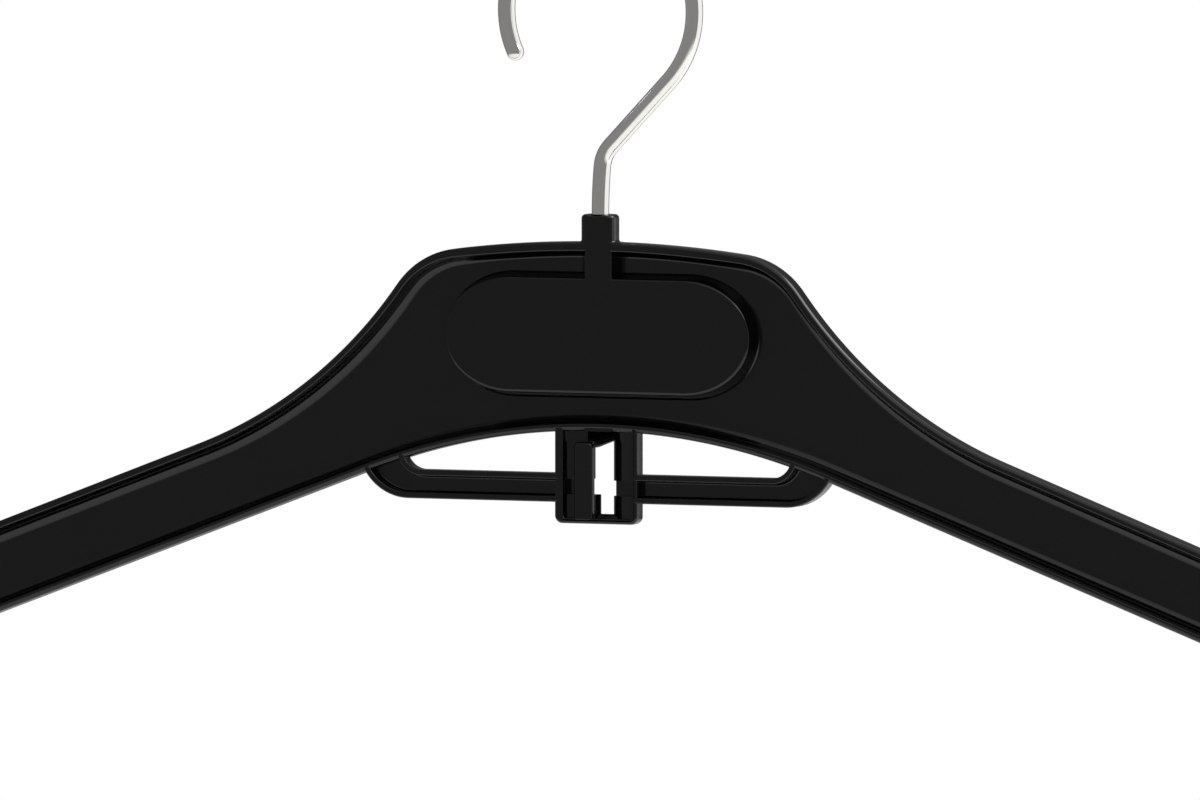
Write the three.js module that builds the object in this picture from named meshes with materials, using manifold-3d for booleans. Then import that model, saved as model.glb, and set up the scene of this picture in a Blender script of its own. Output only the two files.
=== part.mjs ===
// Bar hanger: a black moulded hanger with a channel section and a label pad, an under-bar with a
// keyhole socket and its sprung latch finger, and a plated steel hook that swivels in the neck.
// Millimetres, +Z up, +X along the arms, front towards -Y.
// The origin is the inside of the hook where it sits on a rail, on the swivel axis.

import * as THREE from "three";
import { mergeVertices } from "three/addons/utils/BufferGeometryUtils.js";
import Module from "manifold-3d";

const wasm = await Module();
wasm.setup();

// Hook
const wireDiameter = 3.8;
const hookRadius = 22; // centre line of the main bow
const hookBendRadius = 8.6; // centre line of the bend above the shank
const hookSlant = 45; // degrees that the wire leans out at between the bend and the bow
const hookSweep = 205; // degrees of the bow past the shank side, up to the tip
const shankRise = 11; // wire from the neck boss to the bend, along its centre line
const shankLeanRadius = 106; // slight curve of that stretch towards the bend
const shankInsert = 18; // wire inside the boss and the neck rib
const grooveFromEnd = 2; // solid wire below the retaining groove
const grooveWidth = 1.8;
const grooveDepth = 0.55;
const swivelClearance = 0.2;

// Shoulder moulding
const halfSpan = 215; // centre to arm tip
const bodyHeight = 41.2; // at the centre
const crownSlope = 7.2; // degrees, either side of the centre
const crownRadius = 262;
const neckHalfWidth = 42; // centre to the corner of the shoulder
const shoulderRadius = 19.5;
const shoulderSlope = 53.6;
const shoulderDrop = 31.9; // corner of the shoulder to the foot of its slope
const footRadius = 104;
const archRadius = 151.5; // underside at the centre
const armSlope = 20.73; // underside of each arm
const tipHeight = 19.7;
const tipTopRadius = 9;
const tipBottomRadius = 7;
const backEdge = 1.2; // rounding of the back edge
const frontEdge = 0.4; // rounding of the front edges
const rimWidth = 1.6;
const webThickness = 0.9;
const recessDraft = 0.8; // how far the wall of the recess leans in
const recessFillet = 2.4; // rounding where that wall meets the web

// Label pad, neck rib and neck boss
const padWidth = 71.3;
const padHeight = 25;
const padEndReach = 15.25; // length of each rounded end
const padTopGap = 8; // crown of the body to the pad
const padDraft = 1;
const boreWall = 0.5; // plastic in front of the swivel bore, and behind it
const ribSideWall = 0.9;
const bossSideWall = 1.7;
const bossHeight = 6;
const bossCorner = 1.6;
const bossTopEdge = 0.7;

// Under-bar
const barGap = 9.3; // underside of the body to the bar, at the centre
const barHeight = 6.3;
const barDepth = 3.7;
const barWeb = 0.9;
const flangeWidth = 1.3;
const loopWidth = 112.3;
const loopRadius = 12;
const loopEndWidth = 10.6; // outside of the loop to its opening
const gapRadius = 4.6;

// Keyhole socket
const socketWidth = 19.3;
const socketDrop = 4.6; // below the bar
const socketCorner = 1.7;
const socketLeftWall = 1.8;
const socketRightWall = 1.35;
const socketBottomWall = 1.3;
const rampDepth = 0.7; // of the right jamb, at its wall
const keyLeft = -1.75;
const keyRight = 2.85;
const keyTopGap = 2.4; // underside of the body to the upper corner of the keyhole
const keyTopFall = 1.8; // how far the upper edge falls to the left
const keyNotch = 0.7; // extra width where the channel of the bar meets the keyhole
const keyCorner = 0.5;
const slotLeft = -0.2;
const slotBottomGap = 0.9; // lower slot to the bottom wall

// Latch finger
const fingerWidth = 4.35;
const fingerRight = -1;
const fingerTopGap = 2.45; // underside of the body to the free end
const fingerDepth = 1.8;
const fingerClearance = 0.3; // to the floor behind it
const fingerEdge = 0.45;
const fingerCorner = 0.9;
const rootClearance = 0.3; // between the finger and the bottom wall that carries its root

const ROUND_STEPS = 24;
const WIRE_STEPS = 100;
const ARC_STEP = 8; // degrees of an arc per facet
const ARC_FACET = 7; // longest facet of an arc
const CORNER_SHARE = 0.49; // most of an edge that one rounded corner takes

const radians = THREE.MathUtils.degToRad;

// Depths and heights of the main levels
const wireRadius = wireDiameter / 2;
const boreDiameter = wireDiameter + 2 * swivelClearance;
const bodyDepth = boreDiameter + 2 * boreWall;
const recessDepth = bodyDepth - webThickness;
const barRecess = barDepth - barWeb;
const floorDepth = fingerDepth + fingerClearance;
const leanAngle = shankRise / shankLeanRadius;
const bendOut = shankLeanRadius - (shankLeanRadius - hookBendRadius) * Math.cos(leanAngle);
const bendUp = (shankLeanRadius - hookBendRadius) * Math.sin(leanAngle);
const slantAngle = radians(hookSlant);
const slantOut = bendOut - hookBendRadius * Math.cos(slantAngle);
const slantUp = bendUp + hookBendRadius * Math.sin(slantAngle);
const slantLength = hookRadius / Math.tan(slantAngle) - slantOut / Math.sin(slantAngle);
const slantRise = slantLength * Math.cos(slantAngle);
const bowHeight = slantUp + slantRise + hookRadius * Math.sin(slantAngle); // boss top to the bow's centre
const crown = wireRadius - hookRadius - bowHeight - bossHeight; // top of the body at the centre
const bossTop = crown + bossHeight;
const shankEnd = bossTop - shankInsert;
const underside = crown - bodyHeight;
const barTop = underside - barGap;
const barBottom = barTop - barHeight;
const socketBottom = barBottom - socketDrop;
const socketFloorEnd = socketBottom + socketBottomWall;
const front = -bodyDepth / 2;
const BEYOND = 3; // how far a cutter reaches past the face it cuts
const EDGE_MID = 1 - Math.SQRT1_2; // middle of a rounded edge, as a share of its radius

const point = (x, z, radius = 0) => ({ x, z, radius });

// Outline through the corners, anticlockwise seen from the front, each corner rounded to its radius.
function roundedOutline(corners) {
  return corners.flatMap((corner, i) => {
    const at = new THREE.Vector2(corner.x, corner.z);
    const before = corners.at(i - 1);
    const after = corners[(i + 1) % corners.length];
    const back = new THREE.Vector2(before.x, before.z).sub(at);
    const ahead = new THREE.Vector2(after.x, after.z).sub(at);
    const room = Math.min(back.length(), ahead.length()) * CORNER_SHARE;
    back.normalize();
    ahead.normalize();
    const half = Math.acos(THREE.MathUtils.clamp(back.dot(ahead), -1, 1)) / 2;
    const reach = Math.min(corner.radius / Math.tan(half), room);
    if (reach === 0) return [at];
    const radius = reach * Math.tan(half);
    const turn = Math.PI - 2 * half;
    const side = Math.sign(back.y * ahead.x - back.x * ahead.y);
    const start = at.clone().addScaledVector(back, reach);
    const inward = new THREE.Vector2(back.y, -back.x).multiplyScalar(side);
    const centre = start.clone().addScaledVector(inward, radius);
    const facets = Math.ceil(Math.max(turn / radians(ARC_STEP), (turn * radius) / ARC_FACET));
    return Array.from({ length: facets + 1 }, (_, k) =>
      start.clone().rotateAround(centre, (side * turn * k) / facets),
    );
  });
}

// The outline moved inwards by inset, or outwards where inset is negative.
function offsetOutline(outline, inset) {
  const normals = outline.map((from, i) => {
    const to = outline[(i + 1) % outline.length];
    return new THREE.Vector2(to.y - from.y, from.x - to.x).normalize();
  });
  return outline.map((at, i) => {
    const before = normals.at(i - 1);
    const mitre = before.clone().add(normals[i]).divideScalar(1 + before.dot(normals[i]));
    return at.clone().addScaledVector(mitre, -inset);
  });
}

// Closed solid through copies of one outline. place(point, level) gives a corner in space, and the
// levels run from the end that the outline is seen from to the far end.
function loft(outline, levels, place) {
  const rings = levels.map(([level, inset]) =>
    offsetOutline(outline, inset).map((at) => place(at, level)),
  );
  const count = outline.length;
  const cap = (k) => THREE.ShapeUtils.triangulateShape(offsetOutline(outline, levels[k][1]), []);
  const last = rings.length - 1;
  const index = cap(0).flat();
  cap(last).forEach(([a, b, c]) => index.push(...[a, c, b].map((i) => i + last * count)));
  for (let k = 0; k < last; k++) {
    for (let i = 0; i < count; i++) {
      const a = k * count + i;
      const b = k * count + ((i + 1) % count);
      index.push(a, b + count, b, a, a + count, b + count);
    }
  }
  const geometry = new THREE.BufferGeometry().setFromPoints(rings.flat());
  return solid(geometry.setIndex(index));
}

// Solid with its outline in the front view. Levels are depths behind the front plane.
const slab = (outline, levels) =>
  loft(outline, levels, (at, depth) => new THREE.Vector3(at.x, front + depth, at.y));

// Solid with its outline in plan, seen from above. Levels are heights, from the top down.
const post = (outline, levels) =>
  loft(outline, levels, (at, height) => new THREE.Vector3(at.x, at.y, height));

// Rectangle between two corners, rounded at its lower and its upper corners.
const rectangle = (left, right, low, high, lowRadius = 0, highRadius = 0) =>
  roundedOutline([
    point(left, low, lowRadius),
    point(right, low, lowRadius),
    point(right, high, highRadius),
    point(left, high, highRadius),
  ]);

// Levels of a front edge rounded in two facets, each with its depth and its inset.
const roundedFront = (radius) => [
  [0, radius],
  [radius * EDGE_MID, radius * EDGE_MID],
  [radius, 0],
];

// Levels of a back edge rounded in two facets, up to the back face at depth.
const roundedBack = (depth, radius) =>
  roundedFront(radius)
    .map(([level, inset]) => [depth - level, inset])
    .reverse();

function solid(geometry) {
  const bare = geometry.clone();
  bare.deleteAttribute("normal");
  bare.deleteAttribute("uv");
  const merged = mergeVertices(bare, 1e-4);
  return new wasm.Manifold(
    new wasm.Mesh({
      numProp: 3,
      vertProperties: new Float32Array(merged.attributes.position.array),
      triVerts: new Uint32Array(merged.index.array),
    }),
  );
}

function mesh(name, made, material) {
  const { vertProperties, triVerts } = made.getMesh();
  const geometry = new THREE.BufferGeometry();
  geometry.setAttribute("position", new THREE.BufferAttribute(vertProperties, 3));
  geometry.setIndex(new THREE.BufferAttribute(triVerts, 1));
  geometry.computeVertexNormals();
  const shown = new THREE.Mesh(geometry, material);
  shown.name = name;
  return shown;
}

// Solid of revolution about the swivel axis, from a closed profile of radius and height.
function turned(profile) {
  const points = profile.map(([radius, height]) => new THREE.Vector2(radius, height));
  return solid(new THREE.LatheGeometry(points, ROUND_STEPS).rotateX(Math.PI / 2));
}

// Outline of the shoulder moulding
function bodyOutline() {
  const rise = crownRadius * (1 / Math.cos(radians(crownSlope)) - 1);
  const archTop = underside + archRadius * (1 / Math.cos(radians(armSlope)) - 1);
  const shoulderHeight = crown + rise - neckHalfWidth * Math.tan(radians(crownSlope));
  const footX = neckHalfWidth + shoulderDrop / Math.tan(radians(shoulderSlope));
  const tipBottom = archTop - halfSpan * Math.tan(radians(armSlope));
  const left = [
    point(-neckHalfWidth, shoulderHeight, shoulderRadius),
    point(-footX, shoulderHeight - shoulderDrop, footRadius),
    point(-halfSpan, tipBottom + tipHeight, tipTopRadius),
    point(-halfSpan, tipBottom, tipBottomRadius),
  ];
  const right = left.map(({ x, z, radius }) => point(-x, z, radius)).reverse();
  return roundedOutline([
    point(0, crown + rise, crownRadius),
    ...left,
    point(0, archTop, archRadius),
    ...right,
  ]);
}

// Label pad: straight above and below, with half-ellipse ends
function padOutline() {
  const straight = padWidth / 2 - padEndReach;
  const middle = crown - padTopGap - padHeight / 2;
  const path = new THREE.Path();
  path.absellipse(straight, middle, padEndReach, padHeight / 2, -Math.PI / 2, Math.PI / 2);
  path.absellipse(-straight, middle, padEndReach, padHeight / 2, Math.PI / 2, -Math.PI / 2);
  return path.getPoints(ROUND_STEPS).slice(0, -1);
}

// Shoulder moulding with its recessed front, label pad, neck rib and neck boss
function shoulders(outline) {
  const blank = slab(outline, [...roundedFront(frontEdge), ...roundedBack(bodyDepth, backEdge)]);
  const recess = slab(outline, [
    [-BEYOND, rimWidth],
    [0, rimWidth],
    ...roundedBack(recessDepth, recessFillet).map(([depth, inset]) => [
      depth,
      rimWidth + recessDraft + inset,
    ]),
  ]);
  const raised = [
    ...roundedFront(frontEdge),
    [recessDepth, -padDraft],
    [recessDepth + webThickness / 2, -padDraft],
  ];
  const pad = slab(padOutline(), raised);
  const ribHalf = boreDiameter / 2 + ribSideWall;
  const ribEnd = crown - padTopGap - padHeight / 2;
  const rib = slab(rectangle(-ribHalf, ribHalf, ribEnd, crown - rimWidth / 2), raised);
  const bossHalf = boreDiameter / 2 + bossSideWall;
  const bossOutline = rectangle(-bossHalf, bossHalf, front, -front, bossCorner, bossCorner);
  const boss = post(bossOutline, [
    ...roundedFront(bossTopEdge).map(([drop, inset]) => [bossTop - drop, inset]),
    [crown - rimWidth, 0],
  ]);
  return blank.subtract(recess).add(pad).add(rib).add(boss);
}

// Loop of the under-bar, with a channel in its front
function underBar(bodyCore) {
  const loop = (inset) => {
    const half = loopWidth / 2 - inset;
    return rectangle(-half, half, barBottom + inset, underside, Math.max(loopRadius - inset, 0));
  };
  const gap = (outset) => {
    const half = loopWidth / 2 - loopEndWidth + outset;
    return rectangle(-half, half, barTop - outset, underside + BEYOND, gapRadius + outset);
  };
  const blank = slab(loop(0), [...roundedFront(frontEdge), ...roundedBack(barDepth, frontEdge)]);
  const opening = slab(gap(0), [[-BEYOND, 0], [barDepth + BEYOND, 0]]);
  const channel = slab(loop(flangeWidth), [[-BEYOND, 0], [barRecess, 0]]);
  const innerFlange = slab(gap(flangeWidth), [[-BEYOND, 0], [barRecess + BEYOND, 0]]);
  return blank.subtract(opening).subtract(channel.subtract(innerFlange)).subtract(bodyCore);
}

// Keyhole through the floor of the socket, with a notch at the channel of the bar
function keyholeOutline() {
  const channelLow = barBottom + flangeWidth;
  const channelHigh = barTop - flangeWidth;
  const top = underside - keyTopGap;
  const slotBottom = socketFloorEnd + slotBottomGap;
  return roundedOutline([
    point(slotLeft, slotBottom, keyCorner),
    point(keyRight, slotBottom, keyCorner),
    point(keyRight, channelLow),
    point(keyRight + keyNotch, channelLow, keyCorner),
    point(keyRight + keyNotch, channelHigh, keyCorner),
    point(keyRight, channelHigh),
    point(keyRight, top, keyCorner),
    point(keyLeft, top - keyTopFall, keyCorner),
    point(keyLeft, channelLow, keyCorner),
    point(slotLeft, channelLow),
  ]);
}

// Socket housing across the bar, hollow at the front, with the bar's channel running through it
function withSocket(bar, bodyCore, bodyBlock) {
  const outline = rectangle(-socketWidth / 2, socketWidth / 2, socketBottom, underside, socketCorner);
  const levels = [...roundedFront(frontEdge), ...roundedBack(barDepth, frontEdge)];
  const block = slab(outline, levels).subtract(bodyCore);
  const left = -socketWidth / 2 + socketLeftWall;
  const right = socketWidth / 2 - socketRightWall;
  const pocket = slab(rectangle(left, keyRight, socketFloorEnd, underside), [
    [-BEYOND, 0],
    [floorDepth, 0],
  ]);
  const channel = slab(
    rectangle(left, right, barBottom + flangeWidth, barTop - flangeWidth),
    [[-BEYOND, 0], [barRecess, 0]],
  );
  const rampPlan = roundedOutline([
    point(keyLeft, front - BEYOND),
    point(right, front - BEYOND),
    point(right, front + rampDepth),
    point(keyRight, front + barRecess),
    point(keyLeft, front + barRecess),
  ]);
  const ramp = post(rampPlan, [[underside, 0], [socketFloorEnd, 0]]);
  const keyhole = slab(keyholeOutline(), [[-BEYOND, 0], [barDepth + BEYOND, 0]]);
  const hollow = pocket.add(channel).add(ramp).add(keyhole).subtract(bodyBlock);
  return bar.add(block).subtract(hollow);
}

// Bore for the shank, with the ring that holds the groove of the wire
function swivelBore() {
  const bore = boreDiameter / 2;
  const ring = bore - grooveDepth;
  const end = shankEnd - swivelClearance;
  const ringLow = shankEnd + grooveFromEnd + swivelClearance;
  const ringHigh = shankEnd + grooveFromEnd + grooveWidth - swivelClearance;
  return turned([
    [0, end],
    [bore, end],
    [bore, ringLow],
    [ring, ringLow],
    [ring, ringHigh],
    [bore, ringHigh],
    [bore, bossTop + BEYOND],
    [0, bossTop + BEYOND],
  ]);
}

function hangerBody() {
  const outline = bodyOutline();
  const through = (inset) => slab(outline, [[-BEYOND, inset], [bodyDepth + BEYOND, inset]]);
  const bodyCore = through(rimWidth / 2);
  const lower = withSocket(underBar(bodyCore), bodyCore, through(0));
  return shoulders(outline).add(lower).subtract(swivelBore());
}

// Centre line of the wire: the straight shank, a slight lean, the bend away from the axis, a straight
// slant, then the bow over the axis
class HookLine extends THREE.Curve {
  constructor() {
    super();
    this.leanEnd = shankInsert + shankRise;
    this.bendEnd = this.leanEnd + hookBendRadius * (slantAngle - leanAngle);
    this.slantEnd = this.bendEnd + slantLength;
    this.total = this.slantEnd + hookRadius * (slantAngle + radians(hookSweep));
  }

  getPoint(t, target = new THREE.Vector3()) {
    const along = t * this.total;
    if (along <= shankInsert) return target.set(0, 0, shankEnd + along);
    if (along <= this.leanEnd) {
      const turn = (along - shankInsert) / shankLeanRadius;
      const out = shankLeanRadius * (1 - Math.cos(turn));
      return target.set(out, 0, bossTop + shankLeanRadius * Math.sin(turn));
    }
    if (along <= this.bendEnd) {
      const turn = leanAngle + (along - this.leanEnd) / hookBendRadius;
      const out = bendOut - hookBendRadius * Math.cos(turn);
      return target.set(out, 0, bossTop + bendUp + hookBendRadius * Math.sin(turn));
    }
    if (along <= this.slantEnd) {
      const run = along - this.bendEnd;
      const out = slantOut + run * Math.sin(slantAngle);
      return target.set(out, 0, bossTop + slantUp + run * Math.cos(slantAngle));
    }
    const turn = (along - this.slantEnd) / hookRadius - slantAngle;
    const centre = bossTop + bowHeight;
    return target.set(hookRadius * Math.cos(turn), 0, centre + hookRadius * Math.sin(turn));
  }
}

function swivelHook() {
  const line = new HookLine();
  const section = new THREE.Shape().absarc(0, 0, wireRadius, 0, 2 * Math.PI);
  const wire = new THREE.ExtrudeGeometry(section, {
    curveSegments: ROUND_STEPS / 2,
    steps: WIRE_STEPS,
    extrudePath: line,
  });
  const tip = new THREE.SphereGeometry(wireRadius, ROUND_STEPS, ROUND_STEPS / 2);
  tip.translate(...line.getPoint(1).toArray());
  const core = wireRadius - grooveDepth;
  const low = shankEnd + grooveFromEnd;
  const groove = turned([
    [core, low],
    [wireDiameter, low],
    [wireDiameter, low + grooveWidth],
    [core, low + grooveWidth],
    [core, low],
  ]);
  return solid(wire).add(solid(tip)).subtract(groove);
}

// Tongue that stands free in the socket on its root at the bottom wall
function latchFinger() {
  const low = socketFloorEnd + rootClearance;
  const high = underside - fingerTopGap;
  const outline = rectangle(fingerRight - fingerWidth, fingerRight, low, high, 0, fingerCorner);
  return slab(outline, [...roundedFront(fingerEdge), [fingerDepth, 0]]);
}

const plastic = new THREE.MeshStandardMaterial({ color: 0x1a1a1a, roughness: 0.38 });
const steel = new THREE.MeshStandardMaterial({ color: 0xc4c2be, roughness: 0.2, metalness: 1 });

const hanger = new THREE.Group();
hanger.add(
  mesh("swivel_hook", swivelHook(), steel),
  mesh("hanger_body", hangerBody(), plastic),
  mesh("latch_finger", latchFinger(), plastic),
);

export default hanger;
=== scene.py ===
"""Bar hanger: black moulded shoulders over a keyhole under-bar, and a plated hook that swivels.

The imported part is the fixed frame. Every piece here is a numpy surface in millimetres, in the part's
own axes: +X along the arms, +Z up, front towards -Y, origin where the hook sits on a rail.
"""

import logging
import math
from abc import ABC, abstractmethod
from collections.abc import Sequence
from dataclasses import dataclass, field
from enum import Enum

import bmesh
import bpy
import numpy as np
from bpy.types import Material, Node, NodeSocket, NodeTree, Object, World
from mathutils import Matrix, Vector


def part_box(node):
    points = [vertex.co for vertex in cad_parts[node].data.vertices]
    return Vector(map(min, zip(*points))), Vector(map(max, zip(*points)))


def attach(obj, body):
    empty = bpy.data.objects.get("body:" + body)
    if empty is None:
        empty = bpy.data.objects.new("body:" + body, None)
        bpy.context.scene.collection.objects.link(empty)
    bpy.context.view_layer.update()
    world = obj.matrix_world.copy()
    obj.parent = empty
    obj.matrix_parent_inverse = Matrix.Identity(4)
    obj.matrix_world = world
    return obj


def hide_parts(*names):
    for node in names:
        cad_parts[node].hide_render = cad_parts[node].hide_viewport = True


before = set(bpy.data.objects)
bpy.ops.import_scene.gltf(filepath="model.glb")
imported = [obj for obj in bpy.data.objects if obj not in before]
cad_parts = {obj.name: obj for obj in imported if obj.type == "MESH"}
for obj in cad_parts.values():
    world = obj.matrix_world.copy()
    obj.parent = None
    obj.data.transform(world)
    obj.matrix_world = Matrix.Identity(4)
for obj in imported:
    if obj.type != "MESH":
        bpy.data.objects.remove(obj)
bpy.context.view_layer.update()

LOG = logging.getLogger("bar_hanger")
MM = 0.001

PICTURE_WIDTH = 1200
PICTURE_HEIGHT = 800
PIXELS_PER_MM = 4.6

ARC_FACET = math.radians(9)
LONGEST_FACET = 1.5
CREASE_ANGLE = math.radians(55)
FLUSH = 0.012  # step between two faces that are flush on the moulding
BAR_FRONT = 2 * FLUSH  # depth of the under-bar's front
SOCKET_FRONT = 3 * FLUSH  # depth of the socket's front
SUNK = 0.05  # how far the foot of a fillet dips under the face that it runs out on

MIX_COLOURS = (6, 7)  # sockets of a Mix node that take its two colours
MIX_RESULT = 2  # socket of a Mix node that gives the mixed colour

BODY_LOW, BODY_HIGH = (np.array(corner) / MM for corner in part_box("hanger_body"))
Edge = tuple[np.ndarray, np.ndarray]  # points along an edge, and their unit normals


class Facing(Enum):
    """The side that an outline is drawn on."""

    FRONT = "front"
    TOP = "top"

    def place(self, flat: np.ndarray, level: np.ndarray, start: float) -> np.ndarray:
        """Puts flat points in space, each at its level behind or below the start plane.

        Args:
            flat: Points of the drawing, with two coordinates in the last axis.
            level: Depth behind the front, or drop below the top, of each point.
            start: Where the front or the top plane is.

        Returns:
            The points with X, Y and Z in the last axis.
        """
        first, second = flat[..., 0], flat[..., 1]
        if self is Facing.FRONT:
            return np.stack([first, start + level, second], axis=-1)
        return np.stack([first, second, start - level], axis=-1)


@dataclass(frozen=True)
class Corner:
    """A corner of an outline or a section, and the radius that rounds it."""

    across: float
    up: float
    radius: float = 0.0


@dataclass
class ArcPath:
    """A path of straight lines and arcs in a plane.

    Every piece has a start, a heading, a curvature and a length. At distance d along a piece the heading
    has turned by curvature times d. The point there lies at the end of a chord, half that turn away from
    the first heading, whose length is d times sin(half the turn) over half the turn.
    """

    start: np.ndarray
    heading: np.ndarray
    curvature: np.ndarray
    length: np.ndarray

    @classmethod
    def through(cls, corners: Sequence[Corner], closed: bool = False) -> "ArcPath":
        """Path along the corners, each cut off by an arc of its radius.

        Args:
            corners: The corners in order.
            closed: Whether the last corner leads back to the first.

        Returns:
            The path, which turns and runs straight by turns.
        """
        points = np.array([(corner.across, corner.up) for corner in corners])
        radius = np.array([corner.radius for corner in corners])
        leave = np.roll(points, -1, axis=0) - points
        heading = np.arctan2(leave[:, 1], leave[:, 0])
        arrive = np.roll(heading, 1)
        if not closed:
            arrive[0] = heading[0]
            heading[-1] = arrive[-1]
        turn = (heading - arrive + np.pi) % (2 * np.pi) - np.pi
        reach = radius * np.tan(np.abs(turn) / 2)
        straight = np.hypot(leave[:, 0], leave[:, 1]) - reach - np.roll(reach, -1)
        bend = np.divide(np.sign(turn), radius, out=np.zeros_like(turn), where=radius > 0)
        before = points - reach[:, None] * directions(arrive)
        after = points + reach[:, None] * directions(heading)
        last = 2 * len(corners) - (0 if closed else 1)
        return cls(
            np.stack([before, after], axis=1).reshape(-1, 2)[:last],
            np.stack([arrive, heading], axis=1).ravel()[:last],
            np.stack([bend, np.zeros_like(bend)], axis=1).ravel()[:last],
            np.stack([radius * np.abs(turn), straight], axis=1).ravel()[:last],
        )

    @classmethod
    def walk(cls, start: np.ndarray, heading: float, pieces: Sequence[tuple[float, float]]) -> "ArcPath":
        """Path that sets out from a point and takes its pieces in turn.

        Args:
            start: The first point.
            heading: The angle in which the path sets out.
            pieces: Curvature and length of each piece.

        Returns:
            The path, smooth from piece to piece.
        """
        curvature, length = np.array(pieces).T
        turn = curvature * length
        headings = heading + np.cumsum(turn) - turn
        steps = (length * np.sinc(turn / (2 * np.pi)))[:, None] * directions(headings + turn / 2)
        return cls(start + np.cumsum(steps, axis=0) - steps, headings, curvature, length)

    @classmethod
    def loop(cls, corners: Sequence[Corner], longest: float = LONGEST_FACET) -> Edge:
        """Points round the closed path along the corners, and their normals to the left."""
        path = cls.through(corners, closed=True)
        return path.at(path.stations(longest))

    @classmethod
    def trace(cls, *corners: Corner) -> np.ndarray:
        """Points of the open path along the corners, from its first to its last."""
        path = cls.through(corners)
        return path.at(np.append(path.stations(), path.ends[-1]))[0]

    @property
    def ends(self) -> np.ndarray:
        """How far along the path each piece ends."""
        return np.cumsum(self.length)

    def at(self, distance: np.ndarray) -> Edge:
        """Points on the path and the normals to the left of it.

        Args:
            distance: How far along the path each point lies.

        Returns:
            The points and the unit normals, one row for each distance.
        """
        piece = np.minimum(np.searchsorted(self.ends, distance, side="right"), len(self.ends) - 1)
        along = distance - (self.ends - self.length)[piece]
        turn = self.curvature[piece] * along
        chord = along * np.sinc(turn / (2 * np.pi))
        points = self.start[piece] + chord[:, None] * directions(self.heading[piece] + turn / 2)
        return points, directions(self.heading[piece] + turn + np.pi / 2)

    def stations(self, longest: float = LONGEST_FACET) -> np.ndarray:
        """Distances along the path that leave short facets on its arcs, without the path's end.

        Args:
            longest: Longest facet on a straight stretch.

        Returns:
            The distances, in order.
        """
        turns = np.abs(self.curvature) * self.length / ARC_FACET
        counts = np.ceil(np.maximum(turns, self.length / longest)).astype(int)
        pieces = zip(self.ends - self.length, self.length, counts)
        return np.concatenate([begin + run * np.arange(n) / max(n, 1) for begin, run, n in pieces])


def directions(angle: np.ndarray) -> np.ndarray:
    """Unit vectors at the angles."""
    return np.stack([np.cos(angle), np.sin(angle)], axis=-1)


def spaced(marks: Sequence[float], counts: Sequence[int]) -> np.ndarray:
    """Distances evenly spread between the marks, with the given count in each stretch and the last mark."""
    runs = [np.linspace(a, b, n, endpoint=False) for a, b, n in zip(marks, marks[1:], counts)]
    return np.append(np.concatenate(runs), marks[-1])


def rectangle(left: float, right: float, low: float, high: float, radius: float) -> list[Corner]:
    """Corners of a rectangle, anticlockwise from the lower left, all with one radius."""
    return [Corner(x, z, radius) for x, z in ((left, low), (right, low), (right, high), (left, high))]


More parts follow.
